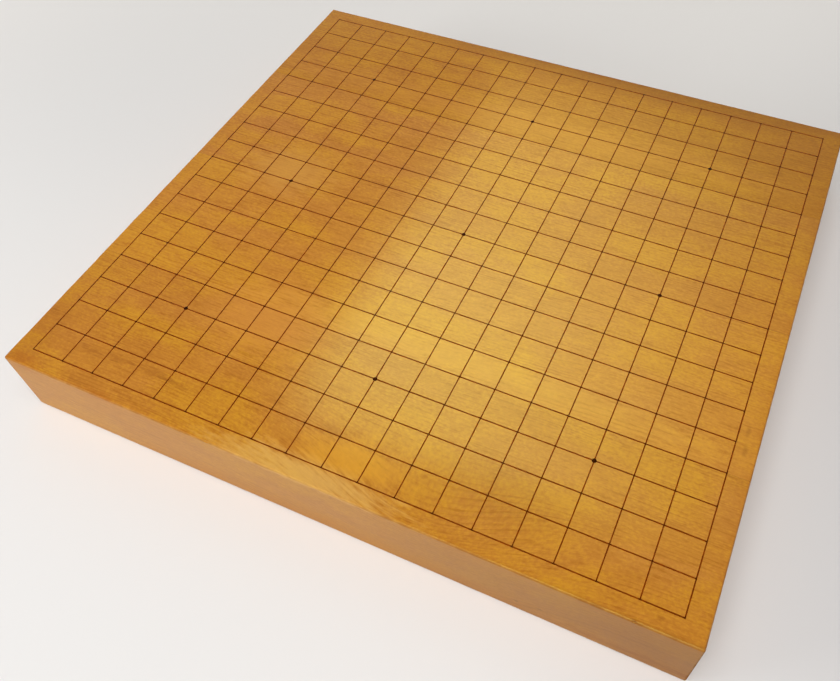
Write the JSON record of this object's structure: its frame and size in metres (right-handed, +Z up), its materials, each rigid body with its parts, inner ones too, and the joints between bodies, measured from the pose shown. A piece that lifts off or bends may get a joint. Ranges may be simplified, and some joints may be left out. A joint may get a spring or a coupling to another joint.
{
  "type": "go board",
  "caption": "Thick legless table board for the game of go: a slab of edge-glued wood staves with a grid of raised lacquer lines and star points.",
  "frame": {"origin": "centre of the underside, where the board rests", "axes": "+X along the long side to the right, +Y from the front edge to the back edge, +Z up through the playing face"},
  "size_m": [0.454, 0.421, 0.0554],
  "materials": {
    "stave_wood": "pale softwood under a clear satin varnish",
    "lacquer": "dark brown lacquer, slightly raised and glossy",
    "glue": "thin amber glue film"
  },
  "bodies": {
    "root": {"front_stave": "stave_wood", "front_middle_stave": "stave_wood", "back_middle_stave": "stave_wood", "back_stave": "stave_wood", "front_glue_line": "glue", "middle_glue_line": "glue", "back_glue_line": "glue", "row_line_01": "lacquer", "row_line_02": "lacquer", "row_line_03": "lacquer", "row_line_04": "lacquer", "row_line_05": "lacquer", "row_line_06": "lacquer", "row_line_07": "lacquer", "row_line_08": "lacquer", "row_line_09": "lacquer", "row_line_10": "lacquer", "row_line_11": "lacquer", "row_line_12": "lacquer", "row_line_13": "lacquer", "row_line_14": "lacquer", "row_line_15": "lacquer", "row_line_16": "lacquer", "row_line_17": "lacquer", "row_line_18": "lacquer", "row_line_19": "lacquer", "column_line_01": "lacquer", "column_line_02": "lacquer", "column_line_03": "lacquer", "column_line_04": "lacquer", "column_line_05": "lacquer", "column_line_06": "lacquer", "column_line_07": "lacquer", "column_line_08": "lacquer", "column_line_09": "lacquer", "column_line_10": "lacquer", "column_line_11": "lacquer", "column_line_12": "lacquer", "column_line_13": "lacquer", "column_line_14": "lacquer", "column_line_15": "lacquer", "column_line_16": "lacquer", "column_line_17": "lacquer", "column_line_18": "lacquer", "column_line_19": "lacquer", "star_point_1": "lacquer", "star_point_2": "lacquer", "star_point_3": "lacquer", "star_point_4": "lacquer", "star_point_5": "lacquer", "star_point_6": "lacquer", "star_point_7": "lacquer", "star_point_8": "lacquer", "star_point_9": "lacquer"}
  },
  "joints": []
}
